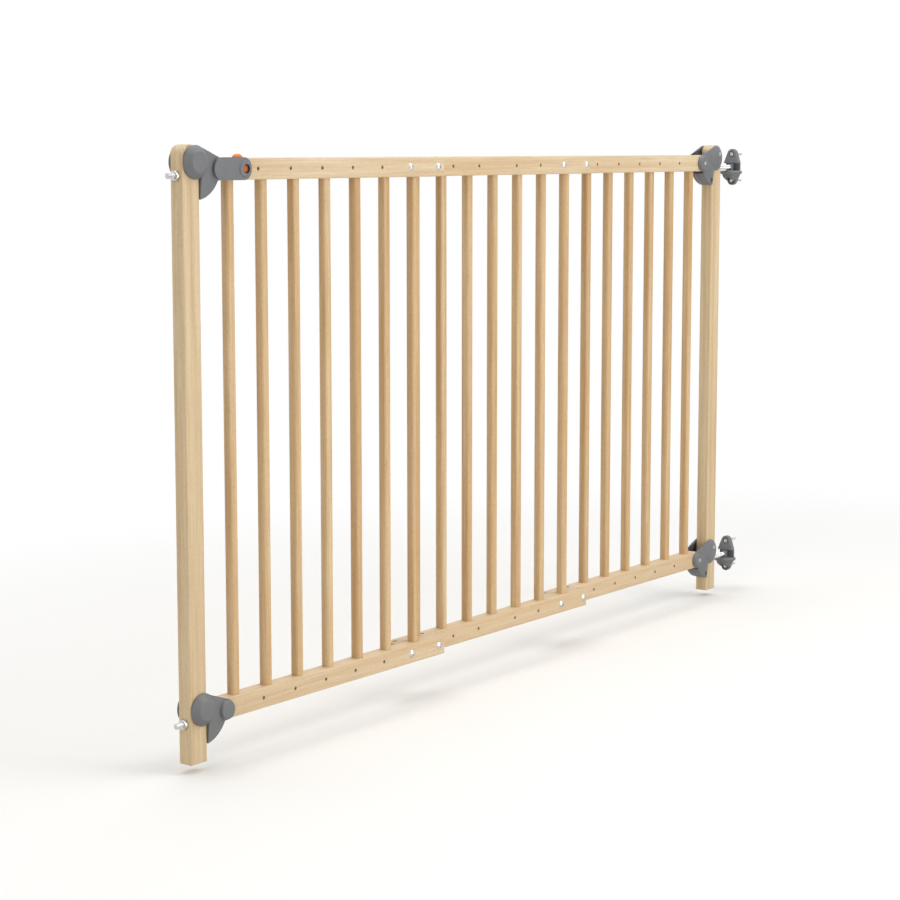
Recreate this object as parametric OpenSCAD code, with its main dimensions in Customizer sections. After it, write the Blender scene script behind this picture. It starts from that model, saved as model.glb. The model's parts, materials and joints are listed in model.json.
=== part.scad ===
// Extendable wooden safety gate for a doorway or a stair.
//
// Three slatted sections overlap and are bolted together through their rails. At each
// end a post hangs on an upper and a lower link, so that the panel can be lifted while
// it stays level. The right post turns on two wall brackets.
//
// X runs along the gate, Y through its thickness and Z upwards. The origin is on the
// wall plane, midway between the two screws of the lower wall bracket.

/* [Slats] */
// Distance from one slat to the next
slat_pitch = 66; // [54:1:72]
// Slats in each of the three sections
slats_per_section = 7; // [5:1:9]
// Width and depth of a slat
slat_w = 14; // [12:0.5:15]
// Rounding of a slat's long edges
slat_round = 4; // [2:0.5:5]
// Depth that a slat is glued into each rail
slat_tenon = 12; // [8:1:16]

/* [Rails] */
// Height of the panel over both rails
gate_h = 750; // [600:10:900]
// Height of a rail
rail_h = 29; // [27:0.5:32]
// Thickness of a rail, which is also the step from section to section
rail_t = 22; // [20:0.5:26]
// Rounding of a rail's long edges
rail_round = 2; // [1:0.5:3]
// Diameter of the holes drilled along the rails
hole_d = 5.2; // [4:0.1:6]
// Distance from a rail hole to the slat beside it
hole_beside_slat = 16.5; // [13:0.5:20]
// Wood left beyond the last hole of an outer section
outer_rail_end = 15; // [10:1:20]
// Wood left beyond the last hole of the middle section
middle_rail_end = 10; // [8:1:14]
// Pitches that neighbouring sections are pushed together, 0 is the widest gate
pushed_in = 0; // [0:1:3]

/* [Section bolts] */
// Shank diameter of a section bolt
bolt_d = 5; // [3.8:0.1:5]
// Diameter of a section bolt's domed head
bolt_head_d = 11.5; // [9:0.5:13]
// Height of a section bolt's domed head
bolt_head_h = 3.4; // [2.5:0.1:4]
// Diameter of the barrel nut that a section bolt screws into
barrel_nut_d = 8; // [7.5:0.1:9]
// Length of a barrel nut
barrel_nut_len = 13; // [10:1:16]

/* [Posts] */
// Width of a post along the gate
post_w = 31; // [28:0.5:36]
// Depth of a post through the gate
post_t = 22; // [20:0.5:26]
// Rounding of a post's long edges
post_round = 2; // [1:0.5:3]
// Length of a post below its lower pivot
post_foot = 80; // [60:1:110]

/* [Links] */
// Distance along the gate between a link's two pivots
link_run = 51.5; // [49:0.5:55]
// Height of a link's post pivot above its rail pivot
link_rise = 16.5; // [14:0.5:18]
// Distance from a rail pivot to the end slat
pivot_to_slat = 28; // [24:0.5:34]
// Angle that a link turns when the panel is lifted right up
lift_angle = 52; // [45:1:52]
// Outer diameter of the steel sleeve in each pivot
sleeve_d = 9; // [8:0.1:10]
// Wall of the steel sleeve
sleeve_wall = 1.7; // [1.2:0.1:1.9]
// Radial running clearance round a sleeve
sleeve_play = 0.09; // [0.05:0.01:0.1]
// Gap between the wood and the link's side plates
side_gap = 0.3; // [0.25:0.05:0.5]
// Thickness of a link's side plate
plate_t = 4.2; // [3.5:0.1:5]
// Radius of a link's big round cover
cover_r = 22.6; // [21:0.2:24]
// Radius of the cover's flat face
cover_face_r = 13.8; // [12:0.2:16]
// Height of the closed cover above the wood
closed_cover_h = 11; // [9:0.5:12]
// Height of the screwed cover above the wood
screwed_cover_h = 7; // [6:0.5:8]
// Radius of the fan's rim
fan_r = 48; // [46:0.5:50]
// Wall of the hollow fan
fan_wall = 2.5; // [2:0.1:3.5]
// How far the fan's rim stands proud of the wood
fan_proud = 1.5; // [1:0.1:2]
// Height of the round boss over the rail pivot
boss_h = 7.2; // [6:0.2:8]

/* [Link screws] */
// Shank diameter of a link screw
link_screw_d = 5; // [4:0.1:5]
// Head diameter of a link screw
link_head_d = 8; // [7:0.1:8.6]
// Head height of a link screw
link_head_h = 2.4; // [1.8:0.1:2.6]
// Thread length of a link screw in the closed half
link_grip = 7; // [5:0.5:8]

/* [Lock] */
// Distance from the rail pivot to the lock
lock_run = 48.5; // [44:0.5:54]
// Diameter of the push button
button_d = 14; // [12:0.5:15]
// How far the button stands above the rail
button_rise = 5.4; // [5:0.1:6.5]
// How far the button presses down
button_travel = 4; // [3:0.1:4.4]
// Diameter of the lock pin
pin_d = 11; // [10:0.1:12]
// How far the lock pin stands out of the rail
pin_reach = 4.7; // [4:0.1:5]
// Wall of the hollow lock arm
arm_wall = 2; // [1.6:0.1:2.2]
// Diameter of the round window in the lock arm
arm_window_d = 12.4; // [11:0.1:13]
// Height of the ring round the window above the arm
arm_ring_h = 2.2; // [1:0.1:3]

/* [Wall studs] */
// Thread diameter of the wall studs
stud_d = 8; // [7:0.5:8]
// Height of the rail's centre line above a stud
stud_drop = 8; // [6:0.5:12]
// Depth that a stud is screwed into a post
stud_grip = 26; // [18:1:26]
// How far the left studs stand out of their nuts
stud_out = 10.5; // [8:0.5:25]
// Width across flats of a stud nut
stud_nut_af = 13; // [12:0.5:14]
// Thickness of a stud nut
stud_nut_t = 6.5; // [5:0.5:8]

/* [Wall brackets] */
// Distance from the wall to the pivot barrel
barrel_reach = 10; // [9.5:0.5:12]
// Distance from the wall to the right post
post_reach = 66; // [60:1:90]
// Diameter of a pivot barrel
barrel_d = 9.5; // [9:0.1:10]
// Radial running clearance round a pivot barrel
barrel_play = 0.08; // [0.05:0.01:0.1]
// Thickness of a bracket's back plate
bracket_t = 9; // [7:0.5:9]
// Distance between a bracket's two screws
bracket_screw_pitch = 48; // [44:1:56]
// Radius of the rounded ends of a bracket
bracket_lobe_r = 14; // [12:0.5:16]
// Half width of a bracket beside its window
bracket_half_w = 20; // [19:0.5:22]
// Half width of a bracket's window
window_half_w = 13; // [12.5:0.5:14]
// Radius of the bracket's projecting shelf
shelf_r = 23.3; // [22:0.1:26]
// Thickness of the shelf
shelf_t = 6.4; // [5:0.1:7]
// Shank diameter of a wall screw
wall_screw_d = 4.5; // [4:0.1:5]
// Head diameter of a wall screw
wall_head_d = 9.5; // [8:0.1:10]
// Length of a wall screw in the wall
wall_screw_len = 30; // [25:1:45]

/* [Hidden] */
$fn = 96;

// A length that reaches past the cut that needs it.
past = 1;
// Gap between pieces that move past each other.
gap = 0.3;
// Radial room of a screw or a nut in its hole.
room = 0.1;

// Heights of the rails, the link pivots and the wall studs.
low_rail_z = stud_drop;
high_rail_z = low_rail_z + gate_h - rail_h;
low_stud_z = 0;
high_stud_z = high_rail_z - stud_drop;
rail_zs = [low_rail_z, high_rail_z];
stud_zs = [low_stud_z, high_stud_z];
low_pivot_z = low_rail_z + link_rise;
high_pivot_z = high_rail_z + link_rise;

// Places along the gate, counted from the wall at the right.
half_row = (slats_per_section - 1) / 2 * slat_pitch;
last_hole = half_row + slat_pitch - hole_beside_slat;
section_shift = 2 * last_hole - slat_pitch * (1 + pushed_in);
right_post_x = -(post_reach + post_w / 2);
right_pivot_x = right_post_x - link_run;
right_x = right_pivot_x - pivot_to_slat - half_row;
middle_x = right_x - section_shift;
left_x = middle_x - section_shift;
left_pivot_x = left_x - half_row - pivot_to_slat;
left_post_x = left_pivot_x - link_run;

// Depth of each section's middle plane.
right_y = 0;
middle_y = right_y - rail_t;
left_y = middle_y - rail_t;

// Where the bolts go: through the last two holes at each end of the middle section.
bolt_offsets = [last_hole, last_hole - slat_pitch];

// A link's own frame has its origin on the post pivot, u towards the rail and v up.
wood_half_t = max(rail_t, post_t) / 2;
rail_pivot = [link_run, -link_rise];
cover_off = [6.5, -7.4];
rail_end_r = rail_h / 2;
bore_d = sleeve_d + 2 * sleeve_play;
plate_in = wood_half_t + side_gap;
plate_out = plate_in + plate_t;
fan_edge_u = post_w / 2 + side_gap;
fan_rim_w = wood_half_t + fan_proud;
fan_tip_v = cover_off[1] - sqrt(pow(fan_r, 2) - pow(fan_edge_u - cover_off[0], 2));
// The third screw clamps the two halves together in the fan's tip.
clamp_wall = 2;
clamp_r = link_screw_d / 2 + clamp_wall;
clamp_screw = [fan_edge_u + clamp_r, fan_tip_v + 7.5];
clamp_seat_w = fan_rim_w - link_head_h - 2;

// Lock, measured from the rail's centre line.
lock_x = left_pivot_x + lock_run;
arm_run = lock_run - 2;
arm_in_w = rail_t / 2 + boss_h - arm_wall;
button_bore_d = 10.4;
stem_d = button_bore_d - 2 * 0.2;
blade_w = 6;
blade_front = -3.5;
wedge_y = 1.3;
wedge_slope = 0.5;
pin_travel = button_travel * wedge_slope;
pin_back = 6.5;
stem_foot = -(pin_d / 2 + 0.5);
spring_floor = -12.3;

function norm2(v) = sqrt(v[0] * v[0] + v[1] * v[1]);
function turn(v, a) = [v[0] * cos(a) - v[1] * sin(a), v[0] * sin(a) + v[1] * cos(a)];

// ---------- shared shapes ----------

// Rectangle with round corners, centred on the origin.
module round_rect(w, h, r) {
    square([w - 2 * r, h], center = true);
    square([w, h - 2 * r], center = true);
    for (x = [-1, 1], y = [-1, 1])
        translate([x * (w / 2 - r), y * (h / 2 - r)]) circle(r = r);
}

// Extrudes a shape drawn in X and Z from y0 to y1.
module along_y(y0, y1) {
    translate([0, y1, 0]) rotate([90, 0, 0]) linear_extrude(y1 - y0) children();
}

// Extrudes a shape drawn in Y and Z from x0 to x1.
module along_x(x0, x1) {
    translate([x0, 0, 0]) rotate([90, 0, 90]) linear_extrude(x1 - x0) children();
}

// Cylinder along Y from y0 to y1.
module y_rod(x, z, r, y0, y1) {
    translate([x, y1, z]) rotate([90, 0, 0]) cylinder(r = r, h = y1 - y0);
}

// Cylinder along X from x0 to x1.
module x_rod(x0, x1, y, z, r) {
    translate([x0, y, z]) rotate([0, 90, 0]) cylinder(r = r, h = x1 - x0);
}

// ---------- slats and rails ----------

module slat(x, y) {
    bottom = low_rail_z + rail_h / 2 - slat_tenon;
    top = high_rail_z - rail_h / 2 + slat_tenon;
    translate([x, y, bottom]) linear_extrude(top - bottom) round_rect(slat_w, slat_w, slat_round);
}

module slats(x, y) {
    color("burlywood") for (i = [0:slats_per_section - 1]) slat(x - half_row + i * slat_pitch, y);
}

// Outline of a rail seen from the front, with a half-round end where a link holds it.
module rail_outline(x0, x1, z, round_left, round_right) {
    difference() {
        translate([(x0 + x1) / 2, z]) round_rect(x1 - x0, rail_h, rail_round);
        for (end = [[round_left, x0, 1], [round_right, x1, -1]])
            if (end[0]) difference() {
                translate([end[1] + end[2] * (rail_end_r - past) / 2, z])
                    square([rail_end_r + past, rail_h + 2 * past], center = true);
                translate([end[1] + end[2] * rail_end_r, z]) circle(r = rail_end_r);
            }
    }
}

module rail_bar(x0, x1, y, z, round_left, round_right) {
    intersection() {
        along_y(y - rail_t / 2, y + rail_t / 2) rail_outline(x0, x1, z, round_left, round_right);
        along_x(x0, x1) translate([y, z]) round_rect(rail_t, rail_h, rail_round);
        translate([(x0 + x1) / 2, y, z - rail_h / 2])
            linear_extrude(rail_h) round_rect(x1 - x0, rail_t, rail_round);
    }
}

module rail_holes(xs, y, z, r) {
    for (x = xs) y_rod(x, z, r, y - rail_t / 2 - past, y + rail_t / 2 + past);
}

// Blind holes for the barrel nuts, drilled from the side of the rail that faces the slats.
module nut_holes(xs, y, z) {
    inward = z == low_rail_z ? 1 : -1;
    depth = rail_h / 2 + barrel_nut_len / 2;
    for (x = xs) translate([x, y, z + inward * (rail_h / 2 + past - (depth + past) / 2)])
        cylinder(d = barrel_nut_d + 2 * room, h = depth + past, center = true);
}

// An outer section's rail: side is -1 for the left end and 1 for the right end.
module outer_rail(side, x, y, z) {
    pivot = x + side * (half_row + pivot_to_slat);
    far = x - side * (last_hole + outer_rail_end);
    round_end = pivot + side * rail_end_r;
    difference() {
        rail_bar(min(far, round_end), max(far, round_end), y, z, side < 0, side > 0);
        rail_holes([for (i = [0:slats_per_section - 1]) x + side * (half_row - i * slat_pitch)
            - side * (slat_pitch - hole_beside_slat)], y, z, hole_d / 2);
        rail_holes([pivot], y, z, bore_d / 2);
        for (i = [0:slats_per_section - 1]) slat(x - half_row + i * slat_pitch, y);
    }
}

module middle_rail(z) {
    end = last_hole + middle_rail_end;
    inner_hole = slat_pitch - hole_beside_slat;
    steps = floor((last_hole - inner_hole) / slat_pitch + 0.01);
    difference() {
        rail_bar(middle_x - end, middle_x + end, middle_y, z, false, false);
        for (side = [-1, 1], i = [0:steps])
            rail_holes([middle_x + side * (last_hole - i * slat_pitch)], middle_y, z, hole_d / 2);
        for (i = [0:slats_per_section - 1]) slat(middle_x - half_row + i * slat_pitch, middle_y);
        nut_holes([for (b = bolt_offsets) middle_x - b], middle_y, z);
    }
}

module right_rail(z) {
    difference() {
        outer_rail(1, right_x, right_y, z);
        nut_holes([for (b = bolt_offsets) middle_x + b], right_y, z);
    }
}

module left_top_rail() {
    color("burlywood") difference() {
        outer_rail(-1, left_x, left_y, high_rail_z);
        lock_bores();
    }
}

module left_bottom_rail() {
    color("burlywood") outer_rail(-1, left_x, left_y, low_rail_z);
}

module middle_top_rail() {
    color("burlywood") middle_rail(high_rail_z);
}

module middle_bottom_rail() {
    color("burlywood") middle_rail(low_rail_z);
}

module right_top_rail() {
    color("burlywood") right_rail(high_rail_z);
}

module right_bottom_rail() {
    color("burlywood") right_rail(low_rail_z);
}

module left_slats() {
    slats(left_x, left_y);
}

module middle_slats() {
    slats(middle_x, middle_y);
}

module right_slats() {
    slats(right_x, right_y);
}

// ---------- section bolts ----------

// Each bolt's place: [x, middle plane of the front rail, middle plane of the rear rail].
bolt_places = [
    for (b = bolt_offsets) [middle_x - b, left_y, middle_y],
    for (b = bolt_offsets) [middle_x + b, middle_y, right_y]
];

// Domed head with a cross slot, seated on the face at y.
module bolt_head(x, y, z, d, h) {
    ball_r = (d * d / 4 + h * h) / (2 * h);
    slot_w = d * 0.14;
    difference() {
        intersection() {
            translate([x, y - h + ball_r, z]) sphere(r = ball_r);
            y_rod(x, z, d / 2, y - h, y);
        }
        for (a = [0, 90]) translate([x, y - h, z]) rotate([0, a, 0])
            cube([d * 0.5, h, slot_w], center = true);
    }
}

module section_bolts() {
    color("silver") for (place = bolt_places, z = rail_zs) {
        face = place[1] - rail_t / 2;
        bolt_head(place[0], face, z, bolt_head_d, bolt_head_h);
        y_rod(place[0], z, bolt_d / 2, face, place[2] + barrel_nut_d / 2 - past);
    }
}

module barrel_nuts() {
    color("silver") for (place = bolt_places, z = rail_zs) difference() {
        translate([place[0], place[2], z]) cylinder(d = barrel_nut_d, h = barrel_nut_len, center = true);
        y_rod(place[0], z, bolt_d / 2, place[2] - barrel_nut_d, place[2] + barrel_nut_d);
    }
}

// ---------- posts and studs ----------

module post_outline(x) {
    bottom = low_pivot_z - post_foot;
    translate([x, high_pivot_z]) circle(d = post_w);
    translate([x - post_w / 2, bottom + post_round]) square([post_w, high_pivot_z - bottom - post_round]);
    translate([x, bottom + post_w / 2]) round_rect(post_w, post_w, post_round);
}

module post(x, y) {
    bottom = low_pivot_z - post_foot;
    top = high_pivot_z + post_w / 2;
    intersection() {
        along_y(y - post_t / 2, y + post_t / 2) post_outline(x);
        along_x(x - post_w / 2, x + post_w / 2) translate([y, (bottom + top) / 2])
            round_rect(post_t, top - bottom, post_round);
        translate([x, y, bottom]) linear_extrude(top - bottom) round_rect(post_w, post_t, post_round);
    }
}

// A post with its pivot bores and its stud holes: side is -1 at the left end and 1 at the right.
module drilled_post(side, x, y) {
    face = x + side * post_w / 2;
    color("burlywood") difference() {
        post(x, y);
        for (z = [low_pivot_z, high_pivot_z]) y_rod(x, z, bore_d / 2, y - post_t, y + post_t);
        for (z = stud_zs) x_rod(min(face - side * stud_grip, face + side * past),
            max(face - side * stud_grip, face + side * past), y, z, stud_engaged_r);
    }
}

module left_post() {
    drilled_post(-1, left_post_x, left_y);
}

module right_post() {
    drilled_post(1, right_post_x, right_y);
}

left_face_x = left_post_x - post_w / 2;
left_stud_end = left_face_x - stud_nut_t - stud_out;
// Where a thread is engaged it is drawn at its pitch diameter, and at its full diameter where it is free.
stud_engaged_r = stud_d * 0.45;
stud_free_to = left_face_x - stud_nut_t - 0.5;

module left_studs() {
    color("silver") for (z = stud_zs) difference() {
        union() {
            x_rod(left_stud_end, stud_free_to, left_y, z, stud_d / 2);
            x_rod(stud_free_to, left_face_x + stud_grip, left_y, z, stud_engaged_r);
        }
        // Chamfer of the free end.
        translate([left_stud_end, left_y, z]) rotate([0, 90, 0]) difference() {
            translate([0, 0, -past]) cylinder(d = stud_d + 2, h = past + 1);
            translate([0, 0, -past]) cylinder(r1 = stud_d / 2 - past - 1, r2 = stud_d / 2, h = past + 1);
        }
    }
}

module left_stud_nuts() {
    nut_r = stud_nut_af / 2 / cos(30);
    color("silver") for (z = stud_zs) difference() {
        intersection() {
            x_rod_six(left_face_x - stud_nut_t, left_face_x, left_y, z, nut_r);
            // Rounded corners on the nut's outer face.
            translate([left_face_x - stud_nut_t, left_y, z]) rotate([0, 90, 0])
                cylinder(r1 = stud_nut_af / 2, r2 = stud_nut_af / 2 + 2 * stud_nut_t, h = stud_nut_t);
        }
        x_rod(left_face_x - stud_nut_t - past, left_face_x + past, left_y, z, stud_engaged_r);
    }
}

// Hexagonal bar along X with one flat facing up.
module x_rod_six(x0, x1, y, z, r) {
    translate([x0, y, z]) rotate([0, 90, 0]) cylinder(r = r, h = x1 - x0, $fn = 6);
}

// The right studs end in a thinner spigot that is screwed into the pivot barrel.
spigot_d = 5;
spigot_from = barrel_d / 2 + 1;
spigot_grip = barrel_d - 2;

module right_studs() {
    face = right_post_x + post_w / 2;
    shoulder = -barrel_reach - spigot_from;
    color("silver") for (z = stud_zs) {
        x_rod(face - stud_grip, face, right_y, z, stud_engaged_r);
        x_rod(face, shoulder, right_y, z, stud_d / 2);
        x_rod(shoulder, -barrel_reach - barrel_d / 2 + spigot_grip, right_y, z, spigot_d / 2);
    }
}

// ---------- links ----------

// Puts a link drawn in its own frame at its post pivot. The right links are the left ones turned round.
module place_link(side, z) {
    x = side < 0 ? left_post_x : right_post_x;
    y = side < 0 ? left_y : right_y;
    translate([x, y, z]) rotate([0, 0, side < 0 ? 0 : 180]) children();
}

// Turns a half drawn with w away from the middle plane so that w points to -Y or to +Y.
module closed_side() {
    rotate([90, 0, 0]) children();
}

module screwed_side() {
    mirror([0, 1, 0]) rotate([90, 0, 0]) children();
}

// Strip between two circles, bounded by their outer common tangents.
module tangent_strip(a, ra, b, rb) {
    d = b - a;
    heading = atan2(d[1], d[0]);
    lean = acos((ra - rb) / norm2(d));
    polygon([
        a + turn([ra, 0], heading + lean),
        a + turn([ra, 0], heading - lean),
        b + turn([rb, 0], heading - lean),
        b + turn([rb, 0], heading + lean)
    ]);
}

// Area that the rail sweeps, seen from the link, while the panel is lifted.
module rail_sweep(r) {
    swing = -(lift_angle + 2);
    reach = fan_r * 1.5;
    edge = rail_pivot + turn([0, -r], swing);
    polygon([
        rail_pivot,
        edge,
        edge + turn([reach, 0], swing),
        rail_pivot + [reach, -reach],
        rail_pivot + [reach, r],
        rail_pivot + [0, r]
    ]);
    translate(rail_pivot) circle(r = r);
}

// Fan-shaped area below the cover, from the post's face round to the rail pivot.
module fan_area(edge_u, r) {
    intersection() {
        translate(cover_off) circle(r = r);
        polygon([
            [edge_u, cover_off[1]],
            [edge_u, cover_off[1] - fan_r - past],
            [rail_pivot[0] + rail_end_r, cover_off[1] - fan_r - past],
            [rail_pivot[0] + rail_end_r, rail_pivot[1]],
            rail_pivot
        ]);
    }
}

// The fan's outside: a shallow cone that falls away from the cover to the rim.
module fan_body() {
    intersection() {
        linear_extrude(plate_out) fan_area(fan_edge_u, fan_r);
        translate([cover_off[0], cover_off[1], 0]) rotate_extrude() polygon([
            [0, 0], [fan_r, 0], [fan_r, fan_rim_w], [cover_r, plate_out], [0, plate_out]
        ]);
    }
}

// The hollow inside the fan, open at the top.
module fan_hollow() {
    inner_r = fan_r - fan_wall;
    rim_in = fan_rim_w - fan_wall;
    intersection() {
        translate([0, 0, -past]) linear_extrude(plate_in + past) translate(cover_off)
            polygon([
                [fan_edge_u + fan_wall - cover_off[0], fan_r],
                [fan_edge_u + fan_wall - cover_off[0], -fan_r],
                [fan_r * 2, -fan_r],
                [fan_r * 2, fan_r]
            ]);
        translate([cover_off[0], cover_off[1], -past]) rotate_extrude() polygon([
            [0, 0], [inner_r, 0], [inner_r, rim_in + past], [fan_r * 0.72, plate_in + past], [0, plate_in + past]
        ]);
    }
}

// Shallow groove round the fan where the two halves meet.
module parting_groove() {
    depth = 0.8;
    width = 0.4;
    linear_extrude(width, center = true) difference() {
        translate(cover_off) circle(r = fan_r + past);
        translate(cover_off) circle(r = fan_r - depth);
    }
}

// Pillar that joins the two halves in the fan's tip.
module clamp_pillar() {
    intersection() {
        translate(clamp_screw) cylinder(r = clamp_r, h = fan_rim_w);
        fan_body();
    }
}

// One half of a link without its screw holes. cover_h is the height of the round cover above the wood.
module half_body(cover_h) {
    strip_band = 1;
    difference() {
        union() {
            difference() {
                fan_body();
                fan_hollow();
                translate([0, 0, -past]) linear_extrude(plate_in + past) rail_sweep(rail_end_r + gap);
                parting_groove();
            }
            clamp_pillar();
            // Side plate between the cover and the boss.
            translate([0, 0, plate_in]) linear_extrude(plate_t) {
                tangent_strip(cover_off, cover_r, rail_pivot, rail_end_r);
                translate(rail_pivot) circle(r = rail_end_r);
            }
            // Round cover over the post pivot, with a low band and then a cone.
            translate([cover_off[0], cover_off[1], plate_in]) {
                cylinder(r = cover_r, h = strip_band);
                translate([0, 0, strip_band])
                    cylinder(r1 = cover_r, r2 = cover_face_r, h = wood_half_t + cover_h - plate_in - strip_band);
            }
            // Round boss over the rail pivot.
            translate([rail_pivot[0], rail_pivot[1], plate_out])
                cylinder(r1 = rail_end_r, r2 = rail_end_r - 3, h = wood_half_t + boss_h - plate_out);
        }
        // Nothing reaches over the middle plane or into the post's side.
        translate([-2 * fan_r, -2 * fan_r, -2 * past]) cube([4 * fan_r, 4 * fan_r, 2 * past]);
    }
}

link_pivots = [[0, 0], rail_pivot];

// Blind holes for the three screws' threads.
module thread_holes() {
    for (p = link_pivots) translate([p[0], p[1], plate_in - past])
        cylinder(d = link_screw_d, h = closed_grip(p) + past);
    translate([clamp_screw[0], clamp_screw[1], -past]) cylinder(d = link_screw_d, h = link_grip + past);
}

// A screw ends short of the closed half's outer face.
function closed_grip(p) = p == rail_pivot ? min(link_grip, boss_h - side_gap - 1.5) : link_grip;

module closed_half() {
    difference() {
        half_body(closed_cover_h);
        thread_holes();
    }
}

// Height of the screw heads' seats above the middle plane, pivot by pivot.
function seat_w(p) = wood_half_t + (p == rail_pivot ? boss_h : screwed_cover_h) - link_head_h;

module screwed_half() {
    recess_r = link_head_d / 2 + gap;
    difference() {
        half_body(screwed_cover_h);
        for (p = link_pivots) translate([p[0], p[1], 0]) {
            translate([0, 0, plate_in - past]) cylinder(d = link_screw_d + 2 * room, h = plate_out);
            translate([0, 0, seat_w(p)]) cylinder(r = recess_r, h = plate_out);
        }
        translate([clamp_screw[0], clamp_screw[1], 0]) {
            translate([0, 0, -past]) cylinder(d = link_screw_d + 2 * room, h = plate_out);
            translate([0, 0, clamp_seat_w]) cylinder(r = recess_r, h = plate_out);
        }
    }
}

// Lock arm of the upper left link: a hollow bar along the rail with a ringed window.
module arm_solid() {
    top = wood_half_t + boss_h;
    slope = 3;
    end = rail_pivot + [arm_run, 0];
    difference() {
        union() {
            translate([rail_pivot[0], rail_pivot[1], 0]) rotate([90, 0, 90]) linear_extrude(arm_run)
                polygon([
                    [-rail_end_r, plate_in], [-rail_end_r, plate_out], [-rail_end_r + slope, top],
                    [rail_end_r - slope, top], [rail_end_r, plate_out], [rail_end_r, plate_in]
                ]);
            translate([end[0], end[1], plate_in]) {
                cylinder(r = rail_end_r, h = plate_t);
                translate([0, 0, plate_t])
                    cylinder(r1 = rail_end_r, r2 = rail_end_r - slope, h = top - plate_out);
            }
            translate([rail_pivot[0] + lock_run, rail_pivot[1], top - past])
                cylinder(d1 = arm_window_d + 8.4, d2 = arm_window_d + 3.4, h = arm_ring_h + past);
        }
        translate([rail_pivot[0] + lock_run, rail_pivot[1], plate_in])
            cylinder(d = arm_window_d, h = top + arm_ring_h);
    }
}

// The hollow behind the arm's face, and the way out of it for the lock pin.
module arm_hollow() {
    far = rail_pivot + [arm_run, 0];
    near = rail_end_r - 2;
    inner_r = rail_end_r - arm_wall - 1;
    way = pin_d / 2 + gap;
    translate([0, 0, plate_in - past]) linear_extrude(arm_in_w - plate_in + past) {
        difference() {
            union() {
                translate([rail_pivot[0], rail_pivot[1] - inner_r]) square([arm_run, 2 * inner_r]);
                translate(far) circle(r = inner_r);
            }
            translate(rail_pivot) circle(r = near);
        }
        intersection() {
            translate(rail_pivot) difference() {
                circle(r = lock_run + way);
                circle(r = lock_run - way);
            }
            translate([rail_pivot[0], rail_pivot[1] - lock_run]) square([lock_run + way, lock_run]);
        }
    }
}

module locking_half() {
    difference() {
        union() {
            half_body(closed_cover_h);
            arm_solid();
        }
        arm_hollow();
        thread_holes();
    }
}

// Steel sleeves on which the wood turns, clamped between the two halves.
module link_sleeves() {
    color("silver") for (p = link_pivots) translate([p[0], 0, p[1]]) rotate([90, 0, 0])
        difference() {
            cylinder(d = sleeve_d, h = 2 * plate_in, center = true);
            cylinder(d = sleeve_d - 2 * sleeve_wall, h = 2 * plate_in + 2 * past, center = true);
        }
}

// A screw from its seat at w down to the thread's end at w_end, with a cross slot.
module link_screw(p, w, w_end) {
    slot = link_head_d * 0.16;
    translate([p[0], p[1], 0]) {
        translate([0, 0, w_end]) cylinder(d = link_screw_d, h = w - w_end);
        difference() {
            translate([0, 0, w]) cylinder(d1 = link_head_d, d2 = link_head_d - 1, h = link_head_h);
            for (a = [0, 90]) translate([0, 0, w + link_head_h]) rotate([0, 0, a])
                cube([link_head_d * 0.55, slot, link_head_h], center = true);
        }
    }
}

module link_screws() {
    color("silver") screwed_side() {
        for (p = link_pivots) link_screw(p, seat_w(p), -plate_in - closed_grip(p));
        link_screw(clamp_screw, clamp_seat_w, -link_grip);
    }
}

module link_cap(side, z, locking = false) {
    color("dimgray") place_link(side, z) closed_side() {
        if (locking) locking_half();
        else closed_half();
    }
}

module link_base(side, z) {
    color("dimgray") place_link(side, z) screwed_side() screwed_half();
}

module left_upper_link_front() {
    link_cap(-1, high_pivot_z, true);
}

module left_upper_link_rear() {
    link_base(-1, high_pivot_z);
}

module left_upper_link_sleeves() {
    place_link(-1, high_pivot_z) link_sleeves();
}

module left_upper_link_screws() {
    place_link(-1, high_pivot_z) link_screws();
}

module left_lower_link_front() {
    link_cap(-1, low_pivot_z);
}

module left_lower_link_rear() {
    link_base(-1, low_pivot_z);
}

module left_lower_link_sleeves() {
    place_link(-1, low_pivot_z) link_sleeves();
}

module left_lower_link_screws() {
    place_link(-1, low_pivot_z) link_screws();
}

module right_upper_link_front() {
    link_base(1, high_pivot_z);
}

module right_upper_link_rear() {
    link_cap(1, high_pivot_z);
}

module right_upper_link_sleeves() {
    place_link(1, high_pivot_z) link_sleeves();
}

module right_upper_link_screws() {
    place_link(1, high_pivot_z) link_screws();
}

module right_lower_link_front() {
    link_base(1, low_pivot_z);
}

module right_lower_link_rear() {
    link_cap(1, low_pivot_z);
}

module right_lower_link_sleeves() {
    place_link(1, low_pivot_z) link_sleeves();
}

module right_lower_link_screws() {
    place_link(1, low_pivot_z) link_screws();
}

// ---------- lock ----------

// Places what is measured from the rail's centre line at the lock.
module at_lock() {
    translate([lock_x, left_y, high_rail_z]) children();
}

module lock_bores() {
    head_pocket = button_travel + 1;
    at_lock() {
        translate([0, 0, spring_floor]) cylinder(d = button_bore_d, h = rail_h);
        translate([0, 0, rail_h / 2 - head_pocket]) cylinder(d = button_d + 2 * gap, h = rail_h);
        y_rod(0, 0, pin_d / 2 + gap / 2, -rail_t, pin_back + pin_travel + gap);
    }
}

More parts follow.
